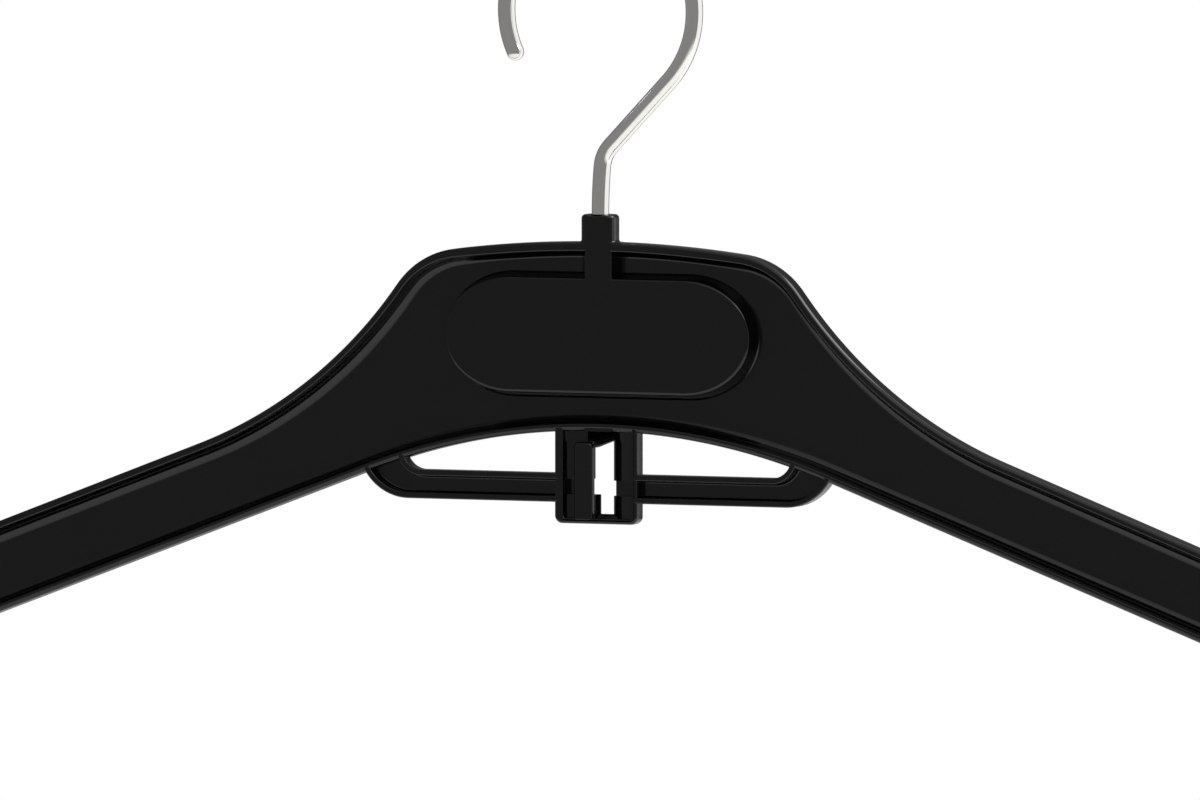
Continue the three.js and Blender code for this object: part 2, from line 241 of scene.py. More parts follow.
@dataclass
class MeshPlan:
    """Points and faces of one piece, gathered from grids before its mesh is made."""

    points: list[np.ndarray] = field(default_factory=list)
    faces: list[list[int]] = field(default_factory=list)
    count: int = 0

    def add(self, grid: np.ndarray) -> np.ndarray:
        """Adds a grid of points.

        Args:
            grid: Points in millimetres, with X, Y and Z in the last axis.

        Returns:
            The number of each point, in the shape of the grid.
        """
        flat = grid.reshape(-1, 3)
        numbers = self.count + np.arange(len(flat)).reshape(grid.shape[:-1])
        self.points.append(flat)
        self.count += len(flat)
        return numbers

    def skin(self, numbers: np.ndarray, round_rows: bool = False, round_columns: bool = False) -> None:
        """Covers a grid of points with quads.

        Args:
            numbers: Point numbers, in rows and columns.
            round_rows: Whether the last row joins the first.
            round_columns: Whether the last column joins the first.
        """
        if round_rows:
            numbers = np.vstack([numbers, numbers[:1]])
        if round_columns:
            numbers = np.hstack([numbers, numbers[:, :1]])
        quads = np.stack([numbers[:-1, :-1], numbers[1:, :-1], numbers[1:, 1:], numbers[:-1, 1:]], axis=-1)
        self.faces.extend(quads.reshape(-1, 4).tolist())

    def ladder(self, ring: np.ndarray) -> None:
        """Fills a ring with rungs between its first half and its second half, walked backwards.

        Args:
            ring: Point numbers round the ring.
        """
        half = len(ring) // 2
        self.skin(np.stack([ring[:half], ring[::-1][:half]]))
        if len(ring) % 2:
            self.faces.append(ring[half - 1 : half + 2].tolist())

    def sleeve(self, grid: np.ndarray) -> None:
        """Covers a grid whose last row joins the first, and fills its first and last column.

        Args:
            grid: Points in millimetres, with X, Y and Z in the last axis.
        """
        numbers = self.add(grid)
        self.skin(numbers, round_rows=True)
        self.ladder(numbers[:, 0])
        self.ladder(numbers[:, -1])

    def moulding(
        self,
        outline: Edge,
        section: np.ndarray,
        facing: Facing,
        start: float,
        spread: tuple[float, float] = (1.0, 1.0),
        lean: float = 0.0,
    ) -> None:
        """Carries a section round a closed outline and fills its two ends.

        A point is the outline's point plus the section's inset times the inward normal, at the section's
        depth. Where the section stands out past the outline, that inset is multiplied by the spread along
        each axis. A leaning piece gets deeper with height, down to its back.

        Args:
            outline: Outline points and their unit normals into the piece.
            section: Insets and depths, one row each, or a set of rows for each outline point.
            facing: The side that the outline is drawn on.
            start: Where that side's plane is.
            spread: Factors of the insets past the outline, along each axis.
            lean: Depth added for each unit of height above the outline's lowest point.
        """
        ring, inward = outline
        inset = np.broadcast_to(section, (len(ring), *section.shape[-2:]))[..., :1]
        flat = ring[:, None, :] + np.where(inset < 0, inset * spread, inset) * inward[:, None, :]
        rise = flat[..., 1] - ring[:, 1].min()
        level = np.minimum(section[..., 1] + lean * rise, section[..., 1].max())
        self.sleeve(facing.place(flat, level, start))

    def prism(self, corners: Sequence[Corner], facing: Facing, start: float, *levels: float) -> None:
        """Carries an outline straight on from one level behind or below its side's plane to another."""
        self.moulding(ArcPath.loop(corners), np.array([[0.0, level] for level in levels]), facing, start)

    def strip(self, outer: Edge, inner: Edge, outer_half: np.ndarray, inner_half: np.ndarray) -> None:
        """Carries half a section along each of two edges and joins the halves into one closed section.

        Args:
            outer: Points along the first edge and their normals into the strip.
            inner: Points along the second edge and their normals into the strip, in the same order.
            outer_half: Insets and depths at the first edge, from the middle of the back to the front.
            inner_half: Insets and depths at the second edge, in the same order.
        """
        halves = (outer_half, inner_half[::-1])
        sides = [
            points[:, None, :] + half[None, :, :1] * inward[:, None, :]
            for (points, inward), half in zip((outer, inner), halves)
        ]
        flat = np.concatenate(sides, axis=1)
        depth = np.concatenate([half[:, 1] for half in halves])
        level = np.broadcast_to(depth[None, :], flat.shape[:2])
        numbers = self.add(Facing.FRONT.place(flat, level, DATUM.front))
        self.skin(numbers, round_columns=True)
        self.faces.extend([numbers[0].tolist(), numbers[-1].tolist()])

    def build(self, name: str) -> Object:
        """Makes the mesh in metres, with its faces outwards and its flat faces shaded flat.

        Args:
            name: Name of the piece.

        Returns:
            The object, at the origin.
        """
        mesh = bpy.data.meshes.new(name)
        mesh.from_pydata(np.concatenate(self.points) * MM, [], self.faces)
        shell = bmesh.new()
        shell.from_mesh(mesh)
        bmesh.ops.recalc_face_normals(shell, faces=shell.faces)
        shell.to_mesh(mesh)
        shell.free()
        mesh.shade_smooth()
        mesh.set_sharp_from_angle(angle=CREASE_ANGLE)
        piece = bpy.data.objects.new(name, mesh)
        bpy.context.scene.collection.objects.link(piece)
        weighted = piece.modifiers.new("flat_faces", "WEIGHTED_NORMAL")
        weighted.keep_sharp = True
        return piece


@dataclass(frozen=True)
class Datum:
    """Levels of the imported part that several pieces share, in millimetres, heights along Z."""

    body_height: float = 41.2
    boss_height: float = 6.0
    bar_gap: float = 9.3
    bar_height: float = 6.3
    bar_depth: float = 3.7
    bar_web: float = 0.9
    flange: float = 1.3
    web: float = 0.9
    socket_drop: float = 4.6
    front: float = float(BODY_LOW[1])  # along Y
    depth: float = float(BODY_HIGH[1]) - front
    recess: float = depth - web  # between the rims
    half_span: float = float(BODY_HIGH[0])  # centre to arm tip
    boss_top: float = float(BODY_HIGH[2])
    crown: float = boss_top - boss_height  # top of the shoulders at the centre
    underside: float = crown - body_height  # of the shoulders at the centre
    bar_top: float = underside - bar_gap
    bar_bottom: float = bar_top - bar_height
    channel: float = bar_depth - bar_web  # depth of the channel in the under-bar
    socket_bottom: float = bar_bottom - socket_drop


DATUM = Datum()


def linear(code: str) -> tuple[float, float, float, float]:
    """Linear colour of an sRGB hex code.

    Args:
        code: The code, with its hash mark.

    Returns:
        Red, green, blue and a full alpha.
    """
    srgb = np.array([int(code[i : i + 2], 16) for i in (1, 3, 5)]) / 255
    value = np.where(srgb <= 0.04045, srgb / 12.92, ((srgb + 0.055) / 1.055) ** 2.4)
    return (*value.tolist(), 1.0)


def blank_tree(owner: Material | World) -> NodeTree:
    """Empties the node tree of a material or a world.

    Args:
        owner: The material or the world.

    Returns:
        The tree.
    """
    owner.use_nodes = True
    owner.node_tree.nodes.clear()
    return owner.node_tree


def add_node(
    tree: NodeTree, kind: str, inputs: dict[str | int, object] | None = None, **settings: object
) -> Node:
    """Adds a node, with its settings and its inputs.

    Args:
        tree: The node tree.
        kind: The node's type name.
        inputs: A value for each input socket, or an output socket that is linked to it.
        settings: The node's own properties.

    Returns:
        The node.
    """
    node = tree.nodes.new(kind)
    for key, value in settings.items():
        setattr(node, key, value)
    for key, value in (inputs or {}).items():
        if isinstance(value, NodeSocket):
            tree.links.new(value, node.inputs[key])
        else:
            node.inputs[key].default_value = value
    return node


def noise(tree: NodeTree, place: NodeSocket, size: float, detail: float) -> NodeSocket:
    """Adds a noise whose grain has the given size in millimetres, on metre coordinates."""
    inputs = {"Vector": place, "Scale": 1 / (size * MM), "Detail": detail}
    return add_node(tree, "ShaderNodeTexNoise", inputs).outputs["Fac"]


@dataclass(frozen=True)
class Finish(ABC):
    """A finish whose colour and roughness follow one fine pattern and whose relief follows another."""

    name: str
    colours: tuple[str, str]  # at the low and the high end of the tone
    roughness: tuple[float, float]  # at the same ends
    relief_height: float

    @abstractmethod
    def patterns(self, tree: NodeTree) -> tuple[NodeSocket, NodeSocket]:
        """Adds the patterns of the tone and of the relief."""

    @abstractmethod
    def optics(self) -> dict[str, float]:
        """The shader's inputs that make it a plastic or a metal."""

    def make(self) -> Material:
        """Makes the material.

        Returns:
            The material, on the coordinates of its patterns.
        """
        material = bpy.data.materials.new(self.name)
        tree = blank_tree(material)
        tone, relief = self.patterns(tree)
        ends = dict(zip(MIX_COLOURS, map(linear, self.colours)))
        colour = add_node(tree, "ShaderNodeMix", {"Factor": tone, **ends}, data_type="RGBA")
        low, high = self.roughness
        gloss = add_node(tree, "ShaderNodeMapRange", {"Value": tone, "To Min": low, "To Max": high})
        height = {"Height": relief, "Strength": 1.0, "Distance": self.relief_height * MM}
        bump = add_node(tree, "ShaderNodeBump", height)
        inputs = {
            "Base Color": colour.outputs[MIX_RESULT],
            "Roughness": gloss.outputs["Result"],
            "Normal": bump.outputs["Normal"],
            **self.optics(),
        }
        shader = add_node(tree, "ShaderNodeBsdfPrincipled", inputs)
        add_node(tree, "ShaderNodeOutputMaterial", {"Surface": shader.outputs["BSDF"]})
        return material


@dataclass(frozen=True)
class MouldedPolypropylene(Finish):
    """Black polypropylene, injection moulded in a polished tool.

    The eye gets a near-black body with a clear soft gloss: flats mirror the grey room evenly, and only the
    rounded edges catch the lights. A faint orange peel from the tool keeps the gloss from looking drawn.
    """

    name: str = "moulded_black_polypropylene"
    colours: tuple[str, str] = ("#030303", "#070707")
    roughness: tuple[float, float] = (0.1, 0.14)
    relief_height: float = 0.00015
    ior: float = 1.49
    flow_size: float = 14.0  # patches where the melt cooled differently
    flow_detail: float = 3.0
    peel_size: float = 0.9  # orange peel of about 0.3 mm, drawn coarser so that it shows
    peel_detail: float = 2.0

    def patterns(self, tree: NodeTree) -> tuple[NodeSocket, NodeSocket]:
        """Patches of flow and orange peel, on Object coordinates.

        Args:
            tree: The material's tree.

        Returns:
            The patches for the tone and the peel for the relief.
        """
        place = add_node(tree, "ShaderNodeTexCoord").outputs["Object"]
        flow = noise(tree, place, self.flow_size, self.flow_detail)
        return flow, noise(tree, place, self.peel_size, self.peel_detail)

    def optics(self) -> dict[str, float]:
        """A clear plastic's refraction."""
        return {"IOR": self.ior}


@dataclass(frozen=True)
class PlatedWire(Finish):
    """Drawn steel wire, bent and then bright nickel plated.

    The eye gets a near mirror that carries the room along the wire in clean bands, with faint lines from
    the drawing die running lengthwise under the plating.
    """

    name: str = "bright_nickel_plated_steel_wire"
    colours: tuple[str, str] = ("#ebeae7", "#f4f3f0")
    roughness: tuple[float, float] = (0.1, 0.05)
    relief_height: float = 0.0005
    line_size: float = 0.35  # drawing lines of about 0.05 mm, drawn coarser so that they show
    line_detail: float = 2.0
    line_stretch: float = 80.0
    attribute: str = "straight_wire"

    def patterns(self, tree: NodeTree) -> tuple[NodeSocket, NodeSocket]:
        """Drawing lines, on the piece's own straightened coordinates.

        Args:
            tree: The material's tree.

        Returns:
            The lines, for the tone and for the relief.
        """
        wire = add_node(tree, "ShaderNodeAttribute", attribute_name=self.attribute).outputs["Vector"]
        stretch = {"Vector": wire, "Scale": (1.0, 1.0, 1.0 / self.line_stretch)}
        drawn = add_node(tree, "ShaderNodeMapping", stretch).outputs["Vector"]
        lines = noise(tree, drawn, self.line_size, self.line_detail)
        return lines, lines

    def optics(self) -> dict[str, float]:
        """Bare metal."""
        return {"Metallic": 1.0}


@dataclass
class SubAssembly(ABC):
    """A group of pieces that ride on one body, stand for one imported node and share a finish."""

    body: str = "hanger"
    node: str = "hanger_body"
    slot: str = "black_plastic"
    pieces: list[Object] = field(default_factory=list)

    @abstractmethod
    def build(self) -> None:
        """Builds the pieces."""

    def keep(self, plan: MeshPlan, name: str) -> Object:
        """Builds a planned piece and adds it to the group.

        Args:
            plan: The piece's plan.
            name: Its name.

        Returns:
            The object.
        """
        piece = plan.build(name)
        self.pieces.append(piece)
        LOG.info("%s: %d faces", name, len(piece.data.polygons))
        return piece

    def dress(self, finish: Material) -> None:
        """Gives the pieces their finish and ties them to the frame.

        Args:
            finish: The material of every piece.
        """
        for piece in self.pieces:
            piece.data.materials.append(finish)
            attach(piece, self.body)
            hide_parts(self.node)


@dataclass
class ShoulderMoulding(SubAssembly):
    """The shoulders: one long channel with a rim all round and a thin web at the back."""

    crown_slope: float = math.radians(7.2)
    crown_radius: float = 262.0
    neck_half_width: float = 42.0
    shoulder_radius: float = 19.5
    shoulder_slope: float = math.radians(53.6)
    shoulder_drop: float = 31.9
    foot_radius: float = 104.0
    arch_radius: float = 151.5
    arm_slope: float = math.radians(20.73)
    tip_height: float = 19.7
    tip_top_radius: float = 9.0
    tip_bottom_radius: float = 7.0
    back_edge: float = 1.2
    inner_edge: float = 0.35
    outer_edge: float = 1.1
    rim_width: float = 1.6
    recess_draft: float = 0.8
    recess_fillet: float = 2.65
    crown_edge: float = 0.9
    crown_rim_width: float = 1.95
    crown_fillet: float = 1.2
    crown_near: float = 20.0  # out to here the upper rim is as broad as at the crown
    crown_far: float = 60.0  # from here on it is as narrow as on the arms
    web_margin: float = 6.0  # inset where the carried section ends on the web and on the back
    stations: int = 560  # along each half of the outline
    search_points: int = 11200  # along each half, to look the stations up in
    tip_crowding: float = 0.6  # share of the spacing that closes up towards the tips
    section_stations: tuple[int, ...] = (2, 10, 4, 10, 2, 8, 2, 14, 2)  # straights and bends by turns

    @property
    def arch_top(self) -> float:
        """Where the two arms' undersides would meet without the arch."""
        return DATUM.underside + self.arch_radius * (1 / math.cos(self.arm_slope) - 1)

    def underside_at(self, x: np.ndarray, inset: float) -> np.ndarray:
        """Height of the arms' straight underside, moved into the moulding by an inset."""
        return self.arch_top - np.abs(x) * math.tan(self.arm_slope) + inset / math.cos(self.arm_slope)

    def outline(self) -> tuple[ArcPath, float]:
        """Outline seen from the front, from the middle of the left tip along the underside.

        Returns:
            The closed path, and the distance along it to the middle of the right tip.
        """
        span = DATUM.half_span
        peak = DATUM.crown + self.crown_radius * (1 / math.cos(self.crown_slope) - 1)
        shoulder = peak - self.neck_half_width * math.tan(self.crown_slope)
        foot_x = self.neck_half_width + self.shoulder_drop / math.tan(self.shoulder_slope)
        tip_low = self.arch_top - span * math.tan(self.arm_slope)
        tip_high = tip_low + self.tip_height
        lower = [
            Corner(-span, (tip_low + tip_high) / 2),
            Corner(-span, tip_low, self.tip_bottom_radius),
            Corner(0.0, self.arch_top, self.arch_radius),
            Corner(span, tip_low, self.tip_bottom_radius),
        ]
        right = [
            Corner(span, (tip_low + tip_high) / 2),
            Corner(span, tip_high, self.tip_top_radius),
            Corner(foot_x, shoulder - self.shoulder_drop, self.foot_radius),
            Corner(self.neck_half_width, shoulder, self.shoulder_radius),
        ]
        left = [Corner(-corner.across, corner.up, corner.radius) for corner in right[:0:-1]]
        path = ArcPath.through([*lower, *right, Corner(0.0, peak, self.crown_radius), *left], closed=True)
        return path, float(path.ends[2 * len(lower)])

    def ring(self) -> Edge:
        """Outline points in which each point of the underside faces one of the upper edge.

        Both edges are sampled where a key has the same value. The key is the mean of X and of the distance
        along the edge, scaled to the same span, so it grows along the end faces of the tips too.

        Returns:
            The points and their inward normals, anticlockwise from the left tip.
        """
        path, middle = self.outline()
        span = DATUM.half_span
        even = (np.arange(self.stations) + 0.5) / self.stations * 2 - 1
        targets = span * ((1 - self.tip_crowding) * even + self.tip_crowding * np.sin(even * np.pi / 2))
        lower = np.linspace(0, middle, self.search_points)
        upper = np.linspace(path.ends[-1], middle, self.search_points)
        level = np.linspace(-span, span, self.search_points)
        there = np.interp(targets, (path.at(lower)[0][:, 0] + level) / 2, lower)
        back = np.interp(targets, (path.at(upper)[0][:, 0] + level) / 2, upper)
        return path.at(np.concatenate([there, back[::-1]]))

    def section(self, edge: float, rim: float, fillet: float) -> np.ndarray:
        """Insets and depths of the channel, from the back round the rim to the web.

        Args:
            edge: Radius of the rim's outer edge.
            rim: Width of the rim.
            fillet: Radius at the foot of the recess.

        Returns:
            The insets and the depths, one row each.
        """
        corners = [
            Corner(self.web_margin, DATUM.depth),
            Corner(0.0, DATUM.depth, self.back_edge),
            Corner(0.0, FLUSH, edge),
            Corner(rim, FLUSH, self.inner_edge),
            Corner(rim + self.recess_draft, DATUM.recess, fillet),
            Corner(self.web_margin, DATUM.recess),
        ]
        path = ArcPath.through(corners)
        return path.at(spaced(path.ends[:-1].tolist(), self.section_stations))[0]

    def build(self) -> None:
        """Carries the channel section round the outline and fills the web and the back.

        Along the upper edge the section blends from that of the crown to that of the arms, by a share
        that falls smoothly from one to nothing with the distance from the centre.
        """
        points, inward = self.ring()
        arms = self.section(self.outer_edge, self.rim_width, self.recess_fillet)
        crown = self.section(self.crown_edge, self.crown_rim_width, self.crown_fillet)
        near = np.clip((self.crown_far - np.abs(points[:, 0])) / (self.crown_far - self.crown_near), 0, 1)
        share = np.where(inward[:, 1] < 0, near**2 * (3 - 2 * near), 0)
        sections = arms + share[:, None, None] * (crown - arms)
        plan = MeshPlan()
        plan.moulding((points, inward), sections, Facing.FRONT, DATUM.front)
        self.keep(plan, "shoulder_moulding")


@dataclass
class LabelPad(SubAssembly):
    """The raised label pad: straight above and below, with half-ellipse ends."""

    width: float = 71.3
    height: float = 25.0
    end_reach: float = 15.25
    top_gap: float = 8.0  # crown to the pad
    face_margin: float = 3.4  # inset where the carried section ends on the front face
    edge: float = 0.85
    draft: float = 0.95
    foot_out: float = 0.36  # bevel at the foot of the sides
    foot_deep: float = 0.35
    foot_round: float = 0.05
    end_spread: float = 0.8  # the draft of the ends, as a multiple of that above and below
    root: float = 0.6  # how far the pad reaches into the web
    end_stations: int = 90

    def ring(self) -> Edge:
        """Two half ellipses, set apart by the straight stretch.

        Returns:
            The points and their inward normals, anticlockwise from the lower right.
        """
        half = np.linspace(-np.pi / 2, np.pi / 2, self.end_stations)
        angle = np.concatenate([half, half + np.pi])
        reach = np.array([self.end_reach, self.height / 2])
        straight = np.repeat([1.0, -1.0], self.end_stations) * (self.width / 2 - self.end_reach)
        middle = DATUM.crown - self.top_gap - self.height / 2
        points = directions(angle) * reach
        points += np.stack([straight, np.full_like(straight, middle)], axis=-1)
        outward = directions(angle) / reach
        return points, -outward / np.linalg.norm(outward, axis=1, keepdims=True)

    def section(self) -> np.ndarray:
        """Insets and depths from the front face over the edge and the side to the root in the web.

        Returns:
            The insets and the depths, one row each.
        """
        foot = DATUM.recess + SUNK
        bevel = -self.draft - self.foot_out
        outside = bevel - self.foot_out
        return ArcPath.trace(
            Corner(self.face_margin, FLUSH),
            Corner(0.0, FLUSH, self.edge),
            Corner(-self.draft, foot - self.foot_deep, self.foot_round),
            Corner(bevel, foot, self.foot_round),
            Corner(outside, foot),
            Corner(outside, foot + self.root),
        )

    def build(self) -> None:
        """Carries the pad's section round its outline."""
        plan = MeshPlan()
        spread = (self.end_spread, 1.0)
        plan.moulding(self.ring(), self.section(), Facing.FRONT, DATUM.front, spread=spread)
        self.keep(plan, "label_pad")


@dataclass
class Neck(SubAssembly):
    """The rib from the label pad to the crown, and the boss above it that holds the hook."""

    rib_left: float = -2.6
    rib_right: float = 3.5
    rib_top: float = 0.9  # below the crown, inside the rim
    rib_bottom: float = 11.0  # below the crown, inside the pad
    rib_edge: float = 0.5
    rib_left_draft: float = 2.3
    rib_right_draft: float = 0.85
    boss_width: float = 7.8
    boss_corner: float = 1.6
    boss_top_edge: float = 0.9
    boss_fillet: float = 0.6
    boss_spread: float = 1.2  # how far its foot reaches out
    boss_root: float = 0.8
    bore: float = 4.2
    bore_edge: float = 0.2
    bore_ring: float = 0.4  # flat ring round the bore

    def build(self) -> None:
        """Builds the rib and the boss."""
        self.build_rib()
        self.build_boss()

    def build_rib(self) -> None:
        """Carries the rib's outline, seen from above, down from the rim to the pad.

        Each side slopes out by its draft from the front to the web, and on at that slope to the root.
        """
        foot = DATUM.recess + self.boss_root
        reach = foot / DATUM.recess
        corners = [
            Corner(self.rib_left, DATUM.front, self.rib_edge),
            Corner(self.rib_right, DATUM.front, self.rib_edge),
            Corner(self.rib_right + self.rib_right_draft * reach, DATUM.front + foot),
            Corner(self.rib_left - self.rib_left_draft * reach, DATUM.front + foot),
        ]
        plan = MeshPlan()
        plan.prism(corners, Facing.TOP, DATUM.crown, self.rib_top, self.rib_bottom)
        self.keep(plan, "neck_rib")

    def build_boss(self) -> None:
        """Carries a section round the boss, over its top and down its bore.

        Going down the bore, a point keeps its bearing from the axis and lies on the bore's circle. The foot
        spreads along X only, so the boss stays as deep as the shoulders.
        """
        half = self.boss_width / 2
        back = DATUM.depth / 2
        ring, inward = ArcPath.loop(rectangle(-half, half, -back, back, self.boss_corner), self.bore_edge)
        foot = DATUM.boss_height + SUNK
        outside = ArcPath.trace(
            Corner(-self.boss_spread, foot + self.boss_root),
            Corner(-self.boss_spread, foot),
            Corner(0.0, foot, self.boss_fillet),
            Corner(0.0, 0.0, self.boss_top_edge),
            Corner(self.boss_top_edge, 0.0),
        )
        widened = np.where([True, False], outside[None, :, :1], np.maximum(outside[None, :, :1], 0))
        skin = ring[:, None, :] + widened * inward[:, None, :]
        radius = self.bore / 2
        bore = ArcPath.trace(
            Corner(radius + self.bore_ring, 0.0),
            Corner(radius, 0.0, self.bore_edge),
            Corner(radius, DATUM.boss_height),
        )
        bearing = ring / np.linalg.norm(ring, axis=1, keepdims=True)
        flat = np.concatenate([skin, bearing[:, None, :] * bore[None, :, :1]], axis=1)
        drop = np.concatenate([outside[:, 1], bore[:, 1]])
        level = np.broadcast_to(drop[None, :], flat.shape[:2])
        plan = MeshPlan()
        plan.sleeve(Facing.TOP.place(flat, level, DATUM.boss_top))
        self.keep(plan, "neck_boss")


@dataclass
class UnderBar(SubAssembly):
    """The two loops under the shoulders, each a strip with a channel in its front."""

    shoulders: ShoulderMoulding = field(default_factory=ShoulderMoulding)
    loop_width: float = 112.3
    loop_radius: float = 12.0
    loop_end_width: float = 10.6
    gap_radius: float = 4.6
    edge: float = 0.35
    inner_edge: float = 0.3
    flange_draft: float = 0.15
    channel_fillet: float = 0.5
    middle: float = 2.3  # inset where the two halves of the section meet
    bar_end: float = 8.7  # inside the wall of the socket
    root: float = 0.8  # how far each end reaches into the rim
    search_points: int = 4000  # along the bend, to find the rim at
    bend_stations: int = 40
    bar_stations: int = 40

    def edge_line(self, x: float, z: float, radius: float) -> Edge:
        """One edge of the left loop, from inside the rim down and round to the socket.

        The edge starts where it crosses the underside of the arm, moved up by the root.

        Args:
            x: Where the edge comes down.
            z: Height of the edge along the bar.
            radius: Radius of its bend.

        Returns:
            Points along the edge and their normals to its left.
        """
        path = ArcPath.through([Corner(x, DATUM.crown), Corner(x, z, radius), Corner(-self.bar_end, z)])
        bend_end = path.ends[2]
        search = np.linspace(0, bend_end, self.search_points)
        points = path.at(search)[0]
        clearance = points[:, 1] - self.shoulders.underside_at(points[:, 0], self.root)
        begin = float(np.interp(0, -clearance, search))
        marks = [begin, float(bend_end), float(path.ends[-1])]
        return path.at(spaced(marks, [self.bend_stations, self.bar_stations]))

    def section(self) -> np.ndarray:
        """Insets and depths of half the channel, from the back round a flange to the web."""
        return ArcPath.trace(
            Corner(self.middle, DATUM.bar_depth),
            Corner(0.0, DATUM.bar_depth, self.edge),
            Corner(0.0, BAR_FRONT, self.edge),
            Corner(DATUM.flange, BAR_FRONT, self.inner_edge),
            Corner(DATUM.flange + self.flange_draft, DATUM.channel, self.channel_fillet),
            Corner(self.middle, DATUM.channel),
        )

    def build(self) -> None:
        """Builds the left loop and its mirror image."""
        half = self.loop_width / 2
        outer, outer_left = self.edge_line(-half, DATUM.bar_bottom, self.loop_radius)
        inner, inner_left = self.edge_line(-half + self.loop_end_width, DATUM.bar_top, self.gap_radius)
        half_section = self.section()
        for name, side in (("under_bar_left", 1.0), ("under_bar_right", -1.0)):
            flip = np.array([side, 1.0])
            sides = (outer * flip, outer_left * flip), (inner * flip, -inner_left * flip)
            plan = MeshPlan()
            plan.strip(*sides, half_section, half_section)
            self.keep(plan, name)


@dataclass
class KeyholeSocket(SubAssembly):
    """The socket across the bar: a frame round a pocket whose floor has a keyhole through it."""

    left: float = -9.8
    right: float = 9.6
    corner: float = 1.7
    left_wall: float = 1.95
    right_wall: float = 1.3
    bottom_wall: float = 1.15
    inner_corner: float = 0.8
    outer_edge: float = 0.6
    inner_edge: float = 0.3
    floor_edge: float = 0.15
    floor_corner: float = 0.25
    floor_depth: float = 1.95
    left_fillet: float = 1.2  # where the floor meets the left wall
    left_fillet_reach: float = 1.44  # how far its piece goes up the wall and over the floor
    finger_side: float = -1.0  # right side of the latch finger
    hollow_depth: float = 3.3  # of the floor between the finger and the slot
    finger_gap: float = 2.35  # underside to the top of the latch finger
    ledge_rise: float = 0.4  # of the lower floor above the edge of the bar's channel
    key_left: float = -1.55
    key_right: float = 2.85
    key_top_gap: float = 2.25
    key_top_fall: float = 1.75
    key_notch: float = 0.7
    slot_left: float = -0.2
    slot_bottom_gap: float = 0.9
    slot_lean: float = 0.9  # the floor under the slot faces up
    jamb_high: float = 0.6  # depth of the right jamb at its wall
    jamb_low: float = 3.4  # depth of the right jamb at the keyhole
    jamb_knee: float = 5.2  # where its front turns towards the wall
    jamb_knee_depth: float = 1.75
    jamb_round: float = 9.0
    jamb_drop: float = 0.24  # of the upper jamb into the bar's channel
    jamb_rise: float = 0.17  # of the lower jamb into the bar's channel
    bridge_left: float = -2.7  # of the sloping floor above the keyhole
    bridge_right: float = 3.7
    bridge_depth: float = 3.6  # at the rim
    bridge_lean: float = 0.88  # how much shallower it gets below the rim
    lip_drop: float = 0.03  # the sharp lip of the rim above it
    lip_front: float = FLUSH / 2
    lip_depth: float = 1.8
    root: float = 0.6  # how far floors reach into the walls and the rim
    back_step: float = 2 * FLUSH  # from the bar's back to that of the first piece of floor
    hair: float = 0.003  # between the faces of pieces of floor that overlap
    corner_stations: int = 10
    side_stations: int = 14

    @property
    def floor_end(self) -> float:
        """Upper edge of the bottom wall."""
        return DATUM.socket_bottom + self.bottom_wall

    @property
    def channel_low(self) -> float:
        """Lower edge of the bar's channel."""
        return DATUM.bar_bottom + DATUM.flange

    @property
    def channel_high(self) -> float:
        """Upper edge of the bar's channel."""
        return DATUM.bar_top - DATUM.flange

    def key_top(self, x: float) -> float:
        """Height of the keyhole's slanting upper edge."""
        fall = (self.key_right - x) / (self.key_right - self.key_left) * self.key_top_fall
        return DATUM.underside - self.key_top_gap - fall

    def build(self) -> None:
        """Builds the frame and the floor."""
        self.build_frame()
        self.build_floor()

    def build_frame(self) -> None:
        """Carries half a wall section along the outer and the inner edge of the frame."""
        high = DATUM.underside + self.root
        counts = [self.side_stations, self.corner_stations] * 2 + [self.side_stations]
        edges = []
        for left, right, low, radius in (
            (self.left, self.right, DATUM.socket_bottom, self.corner),
            (self.left + self.left_wall, self.right - self.right_wall, self.floor_end, self.inner_corner),
        ):
            feet = [Corner(left, low, radius), Corner(right, low, radius)]
            path = ArcPath.through([Corner(left, high), *feet, Corner(right, high)])
            edges.append(path.at(spaced(path.ends.tolist(), counts)))
        (outer, outer_left), (inner, inner_left) = edges
        outer_half = self.wall_half(self.outer_edge, self.bottom_wall - self.inner_edge)
        inner_half = self.wall_half(self.inner_edge, self.bottom_wall - self.outer_edge)
        plan = MeshPlan()
        plan.strip((outer, outer_left), (inner, -inner_left), outer_half, inner_half)
        self.keep(plan, "socket_frame")

    def wall_half(self, edge: float, reach: float) -> np.ndarray:
        """Insets and depths of half a wall, from the middle of the back to the front.

        Args:
            edge: Radius of its front edge.
            reach: Inset where it meets the other half.

        Returns:
            The insets and the depths, one row each.
        """
        back = DATUM.bar_depth - FLUSH
        return ArcPath.trace(
            Corner(reach, back),
            Corner(0.0, back, self.inner_edge),
            Corner(0.0, SOCKET_FRONT, edge),
            Corner(reach, SOCKET_FRONT),
        )

    def back(self, order: int) -> float:
        """Depth of a floor piece's back, a hair short of the backs before it in the order."""
        return DATUM.bar_depth - self.back_step - order * self.hair

    def block(
        self, plan: MeshPlan, order: int, corners: Sequence[Corner], depth: float, lean: float = 0.0
    ) -> None:
        """Adds a piece of floor with a slightly rounded front edge.

        Args:
            plan: The floor's plan.
            order: Its place among the pieces, which sets its faces a hair apart from theirs.
            corners: Outline seen from the front, anticlockwise.
            depth: Depth of its front behind the front plane, at its lowest point.
            lean: How much deeper its front gets with height.
        """
        front = depth + order * self.hair
        face = Corner(self.floor_edge, front)
        section = ArcPath.trace(face, Corner(0.0, front, self.floor_edge), Corner(0.0, self.back(order)))
        plan.moulding(ArcPath.loop(corners), section, Facing.FRONT, DATUM.front, lean=lean)

